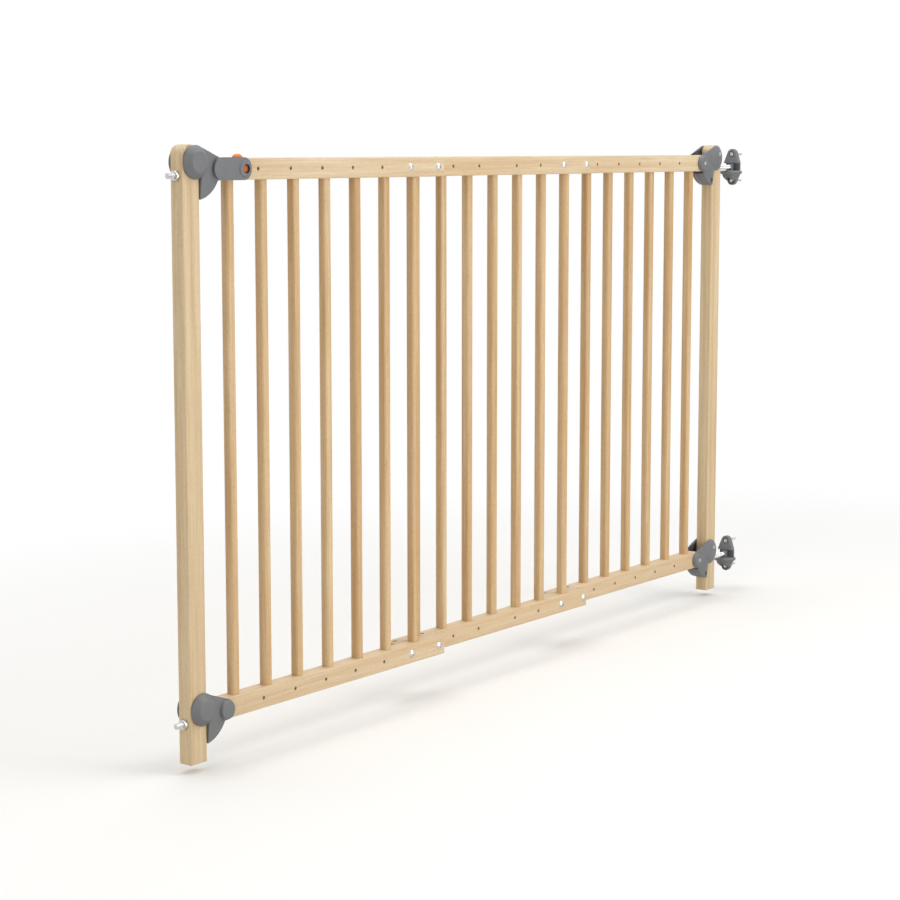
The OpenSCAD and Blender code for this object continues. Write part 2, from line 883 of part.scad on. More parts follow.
// Push button: a dome, a round stem and a wedge blade that draws the pin back.
module release_button() {
    top = rail_h / 2;
    dome_h = button_rise - 1.5;
    ball_r = (button_d * button_d / 4 + dome_h * dome_h) / (2 * dome_h);
    stem_end = pin_d / 2 + button_travel + gap;
    color("chocolate") at_lock() {
        intersection() {
            translate([0, 0, top + button_rise - ball_r]) sphere(r = ball_r);
            translate([0, 0, top]) cylinder(d = button_d, h = button_rise);
        }
        translate([0, 0, top - 0.5]) cylinder(d = button_d, h = 2);
        translate([0, 0, stem_end]) cylinder(d = stem_d, h = top - stem_end);
        intersection() {
            translate([0, 0, stem_foot]) cylinder(d = stem_d, h = stem_end - stem_foot);
            along_x(-blade_w / 2, blade_w / 2) polygon([
                [blade_front, stem_foot],
                [wedge_y + wedge_slope * stem_foot, stem_foot],
                [wedge_y + wedge_slope * stem_end, stem_end],
                [blade_front, stem_end]
            ]);
        }
    }
}

// Lock pin: a round bar with a slot for the button's blade.
module lock_pin() {
    r = pin_d / 2;
    slot_front = blade_front - pin_travel - gap;
    slot_back = wedge_y + gap;
    color("chocolate") at_lock() difference() {
        union() {
            y_rod(0, 0, r, -rail_t / 2 - pin_reach + 1, pin_back);
            translate([0, -rail_t / 2 - pin_reach + 1, 0]) rotate([90, 0, 0]) cylinder(r1 = r, r2 = r - 1.5, h = 1);
        }
        along_x(-blade_w / 2 - gap, blade_w / 2 + gap) polygon([
            [slot_front, -r - past],
            [slot_back - wedge_slope * (r + past), -r - past],
            [slot_back + wedge_slope * (r + past), r + past],
            [slot_front, r + past]
        ]);
    }
}

// Coil spring under the button's stem.
spring_wire_d = 0.6;
spring_turns = 3;
spring_mean_r = 2.4;

module button_spring() {
    sides = 6;
    per_turn = 14;
    rings = spring_turns * per_turn;
    low = spring_floor + spring_wire_d / 2;
    high = stem_foot - spring_wire_d / 2;
    function centre(i) = [
        spring_mean_r * cos(360 * i / per_turn),
        spring_mean_r * sin(360 * i / per_turn),
        low + (high - low) * i / rings
    ];
    function ring_point(i, k) = centre(i) + spring_wire_d / 2 * [
        cos(360 * i / per_turn) * cos(360 * k / sides),
        sin(360 * i / per_turn) * cos(360 * k / sides),
        sin(360 * k / sides)
    ];
    points = [for (i = [0:rings], k = [0:sides - 1]) ring_point(i, k)];
    walls = [for (i = [0:rings - 1], k = [0:sides - 1]) [
        i * sides + k, i * sides + (k + 1) % sides,
        (i + 1) * sides + (k + 1) % sides, (i + 1) * sides + k
    ]];
    first = [for (k = [sides - 1:-1:0]) k];
    last = [for (k = [0:sides - 1]) rings * sides + k];
    color("silver") at_lock() polyhedron(points, concat([first, last], walls));
}

// ---------- wall brackets ----------

shelf_top = -5.9;
window_top = 6.8;
window_bottom = -5.4;
bracket_lower_r = bracket_lobe_r - 0.5;
screw_zs = [-bracket_screw_pitch / 2, bracket_screw_pitch / 2];
barrel_top = window_top - 0.6;
barrel_bottom = -15.5;
shelf_bottom = shelf_top - shelf_t;
recess_r = wall_head_d / 2 + 1.6;
head_seat = bracket_t - 3.5;

// Outline of the back plate in Y and Z: two round lobes joined to a wider waist.
module bracket_outline() {
    waist = [0, (shelf_top + shelf_bottom) / 2];
    tangent_strip([0, screw_zs[1]], bracket_lobe_r, waist, bracket_half_w);
    tangent_strip(waist, bracket_half_w, [0, screw_zs[0]], bracket_lower_r);
    translate([0, screw_zs[1]]) circle(r = bracket_lobe_r);
    translate(waist) circle(r = bracket_half_w);
    translate([0, screw_zs[0]]) circle(r = bracket_lower_r);
}

// Shelf with a rounded nose and the half cone below it that holds the barrel's foot.
module bracket_shelf() {
    nose = shelf_t / 2;
    cone_bottom = screw_zs[0] - bracket_lower_r * 0.5;
    intersection() {
        union() {
            translate([0, 0, shelf_bottom]) cylinder(r = shelf_r - nose, h = shelf_t);
            translate([0, 0, shelf_bottom + nose]) rotate_extrude()
                translate([shelf_r - nose, 0]) circle(r = nose, $fn = 48);
            translate([0, 0, cone_bottom]) cylinder(
                r1 = bracket_lower_r, r2 = shelf_r - nose - 1, h = shelf_bottom - cone_bottom);
        }
        translate([-2 * shelf_r, -2 * shelf_r, -3 * shelf_r]) cube([2 * shelf_r, 4 * shelf_r, 4 * shelf_r]);
    }
}

module wall_bracket(z) {
    color("dimgray") translate([0, 0, z]) difference() {
        union() {
            along_x(-bracket_t, 0) bracket_outline();
            bracket_shelf();
        }
        // Window that leaves the stud free to swing.
        translate([-bracket_t - past, -window_half_w, window_bottom])
            cube([bracket_t + 2 * past, 2 * window_half_w, window_top - window_bottom]);
        // Socket for the barrel.
        translate([-barrel_reach, 0, barrel_bottom - gap])
            cylinder(d = barrel_d + 2 * barrel_play, h = window_top - barrel_bottom + gap);
        // Upper screw: clearance hole and seat.
        x_rod(-bracket_t - past, past, 0, screw_zs[1], wall_screw_d / 2 + room);
        x_rod(-bracket_t - past, -head_seat, 0, screw_zs[1], wall_head_d / 2 + gap);
        // Lower screw: the same behind a deep round recess.
        x_rod(-bracket_t - past, past, 0, screw_zs[0], wall_screw_d / 2 + room);
        x_rod(-shelf_r - past, -head_seat, 0, screw_zs[0], recess_r);
    }
}

module upper_wall_bracket() {
    wall_bracket(high_stud_z);
}

module lower_wall_bracket() {
    wall_bracket(low_stud_z);
}

// Barrels that turn in the brackets' sockets and take the right studs.
module pivot_barrels() {
    spigot_end = -barrel_reach - barrel_d / 2 + spigot_grip;
    color("silver") for (z = stud_zs) difference() {
        translate([-barrel_reach, 0, z + barrel_bottom]) cylinder(d = barrel_d, h = barrel_top - barrel_bottom);
        x_rod(-barrel_reach - barrel_d, spigot_end, 0, z, spigot_d / 2);
    }
}

module wall_screws() {
    head_h = 3;
    neck_r = wall_screw_d * 0.37;
    point_h = 4;
    color("silver") for (z = stud_zs, s = screw_zs) translate([0, 0, z + s]) difference() {
        union() {
            // Plain neck in the bracket, thread in the wall, and a point.
            x_rod(-head_seat, 0, 0, 0, neck_r);
            x_rod(0, wall_screw_len - point_h, 0, 0, wall_screw_d / 2);
            translate([wall_screw_len - point_h, 0, 0]) rotate([0, 90, 0])
                cylinder(r1 = wall_screw_d / 2, r2 = 0.4, h = point_h);
            translate([-head_seat - head_h, 0, 0]) rotate([0, 90, 0])
                cylinder(d1 = wall_head_d - 3, d2 = wall_head_d, h = head_h);
        }
        for (a = [0, 90]) translate([-head_seat - head_h, 0, 0]) rotate([a, 0, 0])
            cube([head_h, wall_head_d * 0.5, wall_head_d * 0.13], center = true);
    }
}

left_top_rail();
left_bottom_rail();
left_slats();
middle_top_rail();
middle_bottom_rail();
middle_slats();
right_top_rail();
right_bottom_rail();
right_slats();
section_bolts();
barrel_nuts();
release_button();
button_spring();
lock_pin();
left_post();
left_studs();
left_stud_nuts();
right_post();
right_studs();
pivot_barrels();
left_upper_link_front();
left_upper_link_rear();
left_upper_link_sleeves();
left_upper_link_screws();
left_lower_link_front();
left_lower_link_rear();
left_lower_link_sleeves();
left_lower_link_screws();
right_upper_link_front();
right_upper_link_rear();
right_upper_link_sleeves();
right_upper_link_screws();
right_lower_link_front();
right_lower_link_rear();
right_lower_link_sleeves();
right_lower_link_screws();
upper_wall_bracket();
lower_wall_bracket();
wall_screws();
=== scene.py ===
# %% [markdown]
# # A wooden safety gate
# This lesson dresses a slatted beech gate. Its sections are bolted together through their
# rails, and grey moulded links hang it between two posts. The frame holds the exact solids.
# The wood, the bolts, the screws and the button keep them and only get their finish here. The
# links, the brackets, the barrels, the studs and the nuts are modelled anew in their places.

# %% Load the frame
import json
import math

import bpy
from mathutils import Matrix, Vector


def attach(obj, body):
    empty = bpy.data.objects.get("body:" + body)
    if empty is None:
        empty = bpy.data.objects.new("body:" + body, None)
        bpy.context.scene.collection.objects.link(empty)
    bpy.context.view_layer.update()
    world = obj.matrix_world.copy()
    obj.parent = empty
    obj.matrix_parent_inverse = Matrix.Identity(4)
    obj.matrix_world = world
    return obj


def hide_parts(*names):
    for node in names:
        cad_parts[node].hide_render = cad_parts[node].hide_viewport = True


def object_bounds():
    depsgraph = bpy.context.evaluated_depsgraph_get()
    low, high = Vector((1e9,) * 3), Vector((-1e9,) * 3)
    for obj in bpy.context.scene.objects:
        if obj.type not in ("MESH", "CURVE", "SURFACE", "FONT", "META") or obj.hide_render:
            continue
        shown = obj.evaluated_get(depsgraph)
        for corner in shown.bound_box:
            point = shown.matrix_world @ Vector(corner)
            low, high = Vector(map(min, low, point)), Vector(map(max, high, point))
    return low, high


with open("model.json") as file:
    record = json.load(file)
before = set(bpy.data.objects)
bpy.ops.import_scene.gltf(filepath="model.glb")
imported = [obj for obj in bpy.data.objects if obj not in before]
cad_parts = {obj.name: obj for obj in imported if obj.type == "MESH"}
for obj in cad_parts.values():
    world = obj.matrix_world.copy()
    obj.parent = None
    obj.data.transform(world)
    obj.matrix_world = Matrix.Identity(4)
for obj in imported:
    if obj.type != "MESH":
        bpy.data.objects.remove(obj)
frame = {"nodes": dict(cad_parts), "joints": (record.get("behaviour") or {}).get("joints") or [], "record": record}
cad_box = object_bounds()
nodes = frame["nodes"]
MM = 0.001


def places(rows):
    """Where the frame's named joints or mounts are, in millimetres."""
    return {row["name"]: [round(v / MM, 3) for v in row["pos_m"]] for row in rows if "pos_m" in row}


joint_at = places(frame["joints"])
mount_at = places(frame["record"]["mounts"])
print("nodes:", len(nodes), "box:", [tuple(round(v, 3) for v in corner) for corner in cad_box])

# %% [markdown]
# ## The camera
# The gate is seen from the front left, from a little above its middle. A long lens keeps
# the slats nearly parallel. The camera is aimed by its heading and its pitch, and a small
# downward shift keeps the gate in the middle of the frame.

# %% Place the camera
eye = Vector((-3.5468, -2.0170, 0.7568))
heading = math.radians(53.018)
pitch = math.radians(-7.130)
bpy.ops.object.camera_add(location=eye, rotation=(math.pi / 2 + pitch, 0, -heading))
camera = bpy.context.object
camera.name = "camera"
camera.data.lens = 87.3
camera.data.sensor_width = 36
camera.data.shift_y = -0.0327
bpy.context.scene.camera = camera
print("camera at", tuple(eye))

# %% [markdown]
# ## Two small helpers for materials
# Colours are picked as sRGB hex values, the way a paint card gives them, but a shader works
# in linear light, so one function turns them. The other adds one node with its settings and
# its links, which keeps each material short enough to read.


# %% Material helpers
def linear(code):
    """Turns an sRGB hex colour into the linear colour that a shader needs."""
    parts = [int(code[i:i + 2], 16) / 255 for i in (1, 3, 5)]
    return tuple(p / 12.92 if p <= 0.04045 else ((p + 0.055) / 1.055) ** 2.4 for p in parts) + (1,)


def add(material, kind, inputs=None, **settings):
    """Adds a node, sets its settings and fills its inputs with values or links."""
    tree = material.node_tree
    made = tree.nodes.new(kind)
    for name, value in settings.items():
        setattr(made, name, value)
    for name, value in (inputs or {}).items():
        if isinstance(value, bpy.types.NodeSocket):
            tree.links.new(value, made.inputs[name])
        else:
            made.inputs[name].default_value = value
    return made


def start_material(name):
    """Returns a new material without nodes and its object coordinates."""
    material = bpy.data.materials.new(name)
    material.use_nodes = True
    material.node_tree.nodes.clear()
    return material, add(material, "ShaderNodeTexCoord").outputs["Object"]


def blend(material, factor, first, second):
    """Mixes two colours; a Mix node's colour sockets are numbers 6 and 7, its result number 2."""
    return add(material, "ShaderNodeMix", {0: factor, 6: first, 7: second}, data_type="RGBA").outputs[2]


def end_material(material, shader):
    """Links the shader to a new output node."""
    add(material, "ShaderNodeOutputMaterial", {"Surface": shader.outputs[0]})
    print("material:", material.name)
    return material


# %% [markdown]
# ## Clear-lacquered beech
# Beech is pale and even. What tells it from pine is its flecks: short dark dashes along the
# grain, 1 to 4 mm long. Under them run fine pores and slow bands of warmer colour, and no two
# sticks come from the same board. Each pattern is a noise stretched along the grain, so its
# scale comes from a real width and length. Rails, posts and slats get one material each, with
# the stretch turned, because planed stock shows the grain along its length. The slats' beech
# is browner and darker than the rest. That is painted shade, the shade between neighbouring slats.

# %% Beech
# How strongly boards, pores and flecks darken the wood.
BOARD_SHARE, PORE_SHARE, FLECK_SHARE = 0.5, 0.30, 0.34


def beech(name, grain, light, dark, fleck_colour):
    """Beech whose grain runs along the axis grain, 0 for X and 2 for Z."""
    material, place = start_material(name)

    def stretched(width_mm, length_mm, detail, shift):
        """Noise with that width across the grain and that length along it."""
        scale = [1 / (width_mm * MM)] * 3
        scale[grain] = 1 / (length_mm * MM)
        spot = add(material, "ShaderNodeMapping", {"Vector": place, "Scale": scale, "Location": shift})
        return add(material, "ShaderNodeTexNoise", {
            "Vector": spot.outputs[0], "Scale": 1, "Detail": detail, "Roughness": 0.55}).outputs["Fac"]

    def span(value, low, high, to_low=0.0, to_high=1.0):
        """Stretches the values from low to high over a new range."""
        return add(material, "ShaderNodeMapRange", {
            "Value": value, "From Min": low, "From Max": high,
            "To Min": to_low, "To Max": to_high}).outputs[0]

    bands = span(stretched(width_mm=9, length_mm=380, detail=2, shift=(3, 1, 7)), low=0.32, high=0.68)
    pores = stretched(width_mm=1.6, length_mm=70, detail=3, shift=(1, 5, 2))
    boards = span(stretched(width_mm=52, length_mm=3000, detail=0, shift=(9, 4, 5)), low=0.3, high=0.7)
    # Real flecks are 0.3 mm wide; they are drawn 0.8 mm wide so that they still show.
    flecks = span(stretched(width_mm=0.8, length_mm=4, detail=1, shift=(2, 8, 4)), low=0.60, high=0.68)
    board_mix = span(boards, low=0, high=1, to_high=BOARD_SHARE)
    pore_mix = span(pores, low=0.45, high=0.75, to_high=PORE_SHARE)
    fleck_mix = span(flecks, low=0, high=1, to_high=FLECK_SHARE)
    colour = blend(material, bands, linear(light), linear(dark))
    colour = blend(material, board_mix, colour, linear(dark))
    colour = blend(material, pore_mix, colour, linear(fleck_colour))
    colour = blend(material, fleck_mix, colour, linear(fleck_colour))
    relief = add(material, "ShaderNodeBump", {"Height": pores, "Strength": 0.25, "Distance": 0.12 * MM})
    lacquer = add(material, "ShaderNodeBsdfPrincipled", {
        "Base Color": colour, "Normal": relief.outputs[0],
        "Roughness": span(pores, low=0.3, high=0.7, to_low=0.40, to_high=0.56)})
    lacquer.inputs["IOR"].default_value = 1.5
    lacquer.inputs["Specular IOR Level"].default_value = 0.45
    return end_material(material, lacquer)


beech_rails = beech("clear lacquered beech, grain along the rails", 0, "#DCC9A9", "#CBB18C", "#A3825A")
beech_posts = beech("clear lacquered beech, grain along the posts", 2, "#DAC7A5", "#C6AC84", "#9F7E54")
# The slats' colours are browner and darker than the rails' and posts': painted shade for the shade between
# neighbouring slats.
beech_slats_with_painted_shade = beech("clear lacquered beech, grain along the slats", 2, "#D9C098", "#C19C6C", "#8A6036")

# %% [markdown]
# ## Grey moulded polyamide
# The links and the wall brackets are moulded from grey polyamide with a little glass fibre.
# The mould is spark-eroded, which leaves an even fine grain and kills the gloss, so the face
# is satin. The grain is about half a millimetre across, drawn as a bump only. Over about 14 mm
# the colour drifts a little.

# %% Polyamide
PLASTIC_DRIFT = 14


def moulded(name, base, second, roughness, grain_mm, depth_mm):
    """Moulded plastic with a spark-eroded grain."""
    material, place = start_material(name)
    cloud = add(material, "ShaderNodeTexNoise", {
        "Vector": place, "Scale": 1 / (PLASTIC_DRIFT * MM), "Detail": 2})
    grain = add(material, "ShaderNodeTexNoise", {
        "Vector": place, "Scale": 1 / (grain_mm * MM), "Detail": 1})
    relief = add(material, "ShaderNodeBump", {
        "Height": grain.outputs["Fac"], "Strength": 0.5, "Distance": depth_mm * MM})
    colour = blend(material, cloud.outputs["Fac"], linear(base), linear(second))
    face = add(material, "ShaderNodeBsdfPrincipled", {
        "Base Color": colour, "Normal": relief.outputs[0]})
    face.inputs["Roughness"].default_value = roughness
    face.inputs["IOR"].default_value = 1.53
    return end_material(material, face)


grey_polyamide = moulded("grey moulded polyamide", "#66686B", "#6C6E71",
                         roughness=0.46, grain_mm=0.45, depth_mm=0.05)
orange_polyamide = moulded("orange moulded polyamide", "#C8621F", "#D06C28",
                           roughness=0.34, grain_mm=0.5, depth_mm=0.02)

# %% [markdown]
# ## Bright zinc plating
# Bolts, screws, nuts and studs are bright zinc-plated steel: a metal, not quite a mirror,
# with soft clouds 2.5 mm across that the plating bath left. Metals keep their colour in the
# base colour and need no separate gloss.

# %% Zinc plating
BATH_CLOUD = 2.5


def plated(name, base, second, low, high):
    """Plated steel whose roughness drifts between low and high."""
    material, place = start_material(name)
    cloud = add(material, "ShaderNodeTexNoise", {
        "Vector": place, "Scale": 1 / (BATH_CLOUD * MM), "Detail": 2})
    gloss = add(material, "ShaderNodeMapRange", {
        "Value": cloud.outputs["Fac"], "From Min": 0.3, "From Max": 0.7, "To Min": low, "To Max": high})
    colour = blend(material, cloud.outputs["Fac"], linear(base), linear(second))
    face = add(material, "ShaderNodeBsdfPrincipled", {
        "Base Color": colour, "Metallic": 1.0, "Roughness": gloss.outputs[0]})
    return end_material(material, face)


zinc = plated("bright zinc-plated steel", "#DCDCDA", "#CFD1D2", low=0.20, high=0.34)
spring_wire = plated("drawn spring wire", "#9A9A98", "#8C8C8B", low=0.30, high=0.42)

# %% [markdown]
# ## Dress the solids
# Every solid of the frame keeps its shape and gets its finish by its name. Material slots
# belong to the mesh, so the old slots are cleared first.

# %% Dress the solids
def finish_of(name):
    """Picks the finish of a node from its name."""
    if name.endswith("rail"):
        return beech_rails
    if name.endswith("post"):
        return beech_posts
    if name.endswith("slats"):
        return beech_slats_with_painted_shade
    if name in ("release_button", "lock_pin"):
        return orange_polyamide
    if name.endswith(("link_front", "link_rear", "bracket")):
        return grey_polyamide
    return spring_wire if name == "button_spring" else zinc


for name, solid in nodes.items():
    solid.data.materials.clear()
    solid.data.materials.append(finish_of(name))
print("dressed", len(nodes), "solids")

# %% [markdown]
# ## Shaping tools
# Every shape is made in millimetres from primitives. Two or more round bars wrapped in their
# convex hull give the tapered plates of a moulding, a cut takes one solid out of another, and
# a small bevel gives each edge the radius that a mould leaves.

# %% Shaping tools
# Edges sharper than SHARP get the bevel, and faces that meet below SMOOTH are shaded smooth.
SHARP, SMOOTH = 30, 32
MERGE = 0.001 * MM


def bar(radius, low, high, place=(0, 0), tip=None, sides=72):
    """Round bar or cone along Z between two heights."""
    bpy.ops.mesh.primitive_cone_add(
        vertices=sides, radius1=radius * MM, radius2=(radius if tip is None else tip) * MM,
        depth=(high - low) * MM, location=(place[0] * MM, place[1] * MM, (low + high) / 2 * MM))
    return settle(bpy.context.object)


def box(low, high):
    """Box between two corners."""
    size = [(b - a) * MM for a, b in zip(low, high)]
    centre = [(a + b) / 2 * MM for a, b in zip(low, high)]
    bpy.ops.mesh.primitive_cube_add(size=1, scale=size, location=centre)
    return settle(bpy.context.object)


def settle(solid):
    """Makes the solid the only selected one and writes its place into its mesh."""
    bpy.ops.object.select_all(action="DESELECT")
    solid.select_set(True)
    bpy.context.view_layer.objects.active = solid
    bpy.ops.object.transform_apply(location=True, rotation=True, scale=True)
    return solid


def turned(solid, degrees, axis, centre=(0, 0, 0)):
    """Turns a solid about an axis through centre."""
    spot = Vector(centre) * MM
    solid.matrix_world = (Matrix.Translation(spot) @ Matrix.Rotation(math.radians(degrees), 4, axis)
                          @ Matrix.Translation(-spot))
    return settle(solid)


def moved(solid, x=0, y=0, z=0):
    """Moves a solid by millimetres."""
    solid.location = (x * MM, y * MM, z * MM)
    return settle(solid)


def lying(radius, start, end, y=0, z=0, tip=None, sides=48):
    """Round bar or cone along X."""
    return moved(turned(bar(radius, start, end, tip=tip, sides=sides), 90, "Y"), y=y, z=z)


def together(*solids):
    """Joins solids into one object."""
    bpy.ops.object.select_all(action="DESELECT")
    for solid in solids:
        solid.select_set(True)
    bpy.context.view_layer.objects.active = solids[0]
    bpy.ops.object.join()
    return solids[0]


def wrap(*solids):
    """Wraps solids in one convex skin."""
    whole = together(*solids)
    bpy.ops.object.mode_set(mode="EDIT")
    bpy.ops.mesh.select_all(action="SELECT")
    bpy.ops.mesh.convex_hull()
    bpy.ops.object.mode_set(mode="OBJECT")
    return whole


def halve(solid, point, normal):
    """Cuts away what lies on the normal's side of a plane and closes the cut."""
    settle(solid)
    bpy.ops.object.mode_set(mode="EDIT")
    bpy.ops.mesh.select_all(action="SELECT")
    bpy.ops.mesh.bisect(plane_co=[v * MM for v in point], plane_no=normal,
                        use_fill=True, clear_outer=True)
    bpy.ops.object.mode_set(mode="OBJECT")
    return solid


def modify(solid, kind, **settings):
    """Applies one modifier."""
    settle(solid)
    change = solid.modifiers.new(kind.lower(), kind)
    for key, value in settings.items():
        setattr(change, key, value)
    bpy.ops.object.modifier_apply(modifier=change.name)
    return solid


def cut(solid, *cutters):
    """Takes the cutters out of a solid."""
    for cutter in cutters:
        modify(solid, "BOOLEAN", operation="DIFFERENCE", solver="EXACT", object=cutter, use_self=True)
        bpy.data.objects.remove(cutter)
    return solid


def ease(solid, radius, segments=2):
    """Gives the sharp edges a small radius."""
    return modify(solid, "BEVEL", width=radius * MM, segments=segments, limit_method="ANGLE",
                  angle_limit=math.radians(SHARP), use_clamp_overlap=True)


def twin(solid):
    """Copies a solid with its own mesh."""
    copy = solid.copy()
    copy.data = solid.data.copy()
    bpy.context.scene.collection.objects.link(copy)
    return copy


def finished(solid, name, finish, body, slot, *replaced):
    """Names a piece, turns its normals outwards, smooths it and puts it in its nodes' place."""
    solid.name = solid.data.name = name
    settle(solid)
    bpy.ops.object.mode_set(mode="EDIT")
    bpy.ops.mesh.select_all(action="SELECT")
    bpy.ops.mesh.remove_doubles(threshold=MERGE)
    bpy.ops.mesh.normals_make_consistent(inside=False)
    bpy.ops.object.mode_set(mode="OBJECT")
    bpy.ops.object.shade_smooth_by_angle(angle=math.radians(SMOOTH))
    solid.data.materials.clear()
    solid.data.materials.append(finish)
    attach(solid, body)
    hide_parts(*replaced)
    print(name, len(solid.data.polygons), "faces")


# %% [markdown]
# ## The links
# Each link is two moulded halves, screwed together round the wood. A round cover hides the
# post pivot, a boss hides the rail pivot, and a fan fills the corner below so that no finger
# gets in. Cover, plate and fan are one smooth face that falls away towards the rim. Inside,
# the fan is hollow and open where the rail swings. A half is drawn lying down, its outer face
# up, with the post pivot at the origin.

# %% Sizes of a link
# Places on the half, (u, v) in millimetres: u runs from the post towards the rail, v upwards.
post_pivot, rail_pivot = joint_at["right_lift"], joint_at["right_rail_turn"]
RAIL_PIVOT = (post_pivot[0] - rail_pivot[0], rail_pivot[2] - post_pivot[2])
COVER = (6.5, -7.4)
CLAMP = (20.3, -47.0)
POST_SIDE = 15.8

# Radii. A tip is the smaller radius at the outer end of a cone.
COVER_R, COVER_TIP = 22.6, 13.8
COVER_FOOT_R = COVER_R - 2.1
PLATE_R = COVER_R - 1.5
BOSS_R, BOSS_TIP = 15.2, 12.2
RAIL_END = 14.5
FAN_R, FAN_WALL = 49, 2.5
HOLLOW_TIP = 34
PILLAR_R = 4.2
HEAD_R = 4.3
COVER_EDGE, BOSS_EDGE, FAN_EDGE, PLATE_EDGE = 1.0, 1.2, 0.5, 0.4

# Heights over the plane where the two halves meet.
PARTING = 0.3
FAN_RIM, HOLLOW_RIM = 12.4, 8.8
PLATE_IN, PLATE_TOP, PLATE_OUT = 11.3, 13.4, 15.0
COVER_FOOT = PLATE_IN + 2
PILLAR_TOP = 11.5
HEAD_DEPTH = 2.4
CLAMP_SEAT = 8.1

# Room that the moving rail needs, and how far it turns down half way and in full.
GAP = 0.3
RAIL_ROOM = 6.0
HALF_DOWN, FULL_DOWN = 27, 54

# Cutters start below the half, end above it, and reach past its sides.
BELOW, ABOVE = -2, 30
RAIL_REACH = 90
FINE = 128
print("rail pivot from the post pivot:", RAIL_PIVOT)


# %% The fan
def upper_tangent():
    """A point and the outward normal of the line that touches the cover and the boss from above."""
    run, fall = RAIL_PIVOT[0] - COVER[0], RAIL_PIVOT[1] - COVER[1]
    along = math.atan2(fall, run) + math.acos((PLATE_R - RAIL_END) / math.hypot(run, fall))
    normal = (math.cos(along), math.sin(along), 0)
    return (COVER[0] + PLATE_R * normal[0], COVER[1] + PLATE_R * normal[1], 0), normal


def screw_seats(seats):
    """Bars that cut the round recesses for the screw heads. seats holds (u, v, floor)."""
    return [bar(HEAD_R, floor, ABOVE, (u, v), sides=32) for u, v, floor in seats]


def rail_way(angle, room):
    """Cutter for the rail when it stands turned down by angle, with some room under it."""
    way = box((RAIL_PIVOT[0], RAIL_PIVOT[1] - RAIL_END - room, BELOW),
              (RAIL_PIVOT[0] + RAIL_REACH, RAIL_PIVOT[1] + RAIL_END + GAP, PLATE_IN))
    return turned(way, -angle, "Z", RAIL_PIVOT + (0,))


def fan(seats):
    """The fan with its falling face, its hollow and the room that the rail swings in."""
    body = wrap(bar(FAN_R, PARTING, FAN_RIM, COVER, sides=FINE),
                bar(COVER_R, FAN_RIM, PLATE_OUT, COVER, sides=FINE))
    halve(body, (POST_SIDE, 0, 0), (-1, 0, 0))
    halve(body, *upper_tangent())
    hollow = wrap(bar(FAN_R - FAN_WALL, BELOW, HOLLOW_RIM, COVER, sides=FINE),
                  bar(HOLLOW_TIP, HOLLOW_RIM, PLATE_IN, COVER, sides=FINE))
    halve(hollow, (POST_SIDE + FAN_WALL, 0, 0), (-1, 0, 0))
    swing = bar(RAIL_END + GAP, BELOW, PLATE_IN, RAIL_PIVOT)
    ways = [rail_way(0, RAIL_ROOM), rail_way(HALF_DOWN, GAP), rail_way(FULL_DOWN, GAP)]
    # Over the line from the cover's level to the rail pivot there is only the face, no side wall.
    slope = math.degrees(math.atan2(COVER[1] - RAIL_PIVOT[1], RAIL_PIVOT[0] - POST_SIDE))
    above = turned(box((POST_SIDE - 20, COVER[1], BELOW), (POST_SIDE + 80, 40, PLATE_IN)), -slope, "Z",
                   (POST_SIDE, COVER[1], 0))
    cut(body, hollow, swing, above, *ways, *screw_seats(seats))
    pillar = bar(PILLAR_R, 0, PILLAR_TOP, CLAMP)
    return ease(body, FAN_EDGE), pillar


# %% Link halves
def link_half(cover_top, boss_top, screws):
    """One half of a link. The half with the screws has three round recesses."""
    heads = ((0, 0, cover_top - HEAD_DEPTH), RAIL_PIVOT + (boss_top - HEAD_DEPTH,), CLAMP + (CLAMP_SEAT,))
    seats = heads if screws else ()
    body, pillar = fan(seats)
    plate = wrap(bar(PLATE_R, PLATE_IN, PLATE_TOP, COVER), bar(RAIL_END, PLATE_IN, PLATE_TOP, RAIL_PIVOT))
    foot = bar(COVER_FOOT_R, PLATE_IN, COVER_FOOT, COVER, tip=COVER_R)
    cover = wrap(foot, bar(COVER_R, COVER_FOOT, cover_top, COVER, tip=COVER_TIP))
    boss = bar(BOSS_R, PLATE_IN, boss_top, RAIL_PIVOT, tip=BOSS_TIP)
    cut(plate, *screw_seats(seats))
    cut(pillar, *screw_seats(seats[2:]))
    ease(cover, COVER_EDGE, 3)
    cut(cover, *screw_seats(seats[:1]))
    ease(boss, BOSS_EDGE, 4)
    cut(boss, *screw_seats(seats[1:2]))
    return together(body, ease(plate, PLATE_EDGE), cover, boss, pillar)


closed_half = link_half(cover_top=22.0, boss_top=18.2, screws=False)
screwed_half = link_half(cover_top=18.0, boss_top=18.2, screws=True)
print("halves:", len(closed_half.data.polygons), len(screwed_half.data.polygons))

# %% [markdown]
# ## The lock arm
# The upper left link carries an arm along the rail. It is a hollow bar with a round end, and
# a ring round a window shows the lock pin: orange means locked.

# %% Lock arm
ARM_R, ARM_TOP, ARM_EDGE = 15.0, 17.9, 1.6
ARM_LEVEL = RAIL_PIVOT[1] + GAP
ARM_START, ARM_END = (RAIL_PIVOT[0] + 1, ARM_LEVEL), (RAIL_PIVOT[0] + 42.5, ARM_LEVEL)
INSIDE_START = (RAIL_PIVOT[0] + 26, ARM_LEVEL)
INSIDE_START_R, INSIDE_END_R = 12.6, 13.2
INSIDE_LOW, INSIDE_TOP = PLATE_IN - 1, 16.3
WINDOW, WINDOW_R = (RAIL_PIVOT[0] + 46.5, RAIL_PIVOT[1]), 6.2
RING, RING_EDGE = (WINDOW[0] - 2, WINDOW[1]), 0.5
RING_R, RING_TIP = 12.4, 10.6
RING_LOW, RING_TOP = 16, 19.2


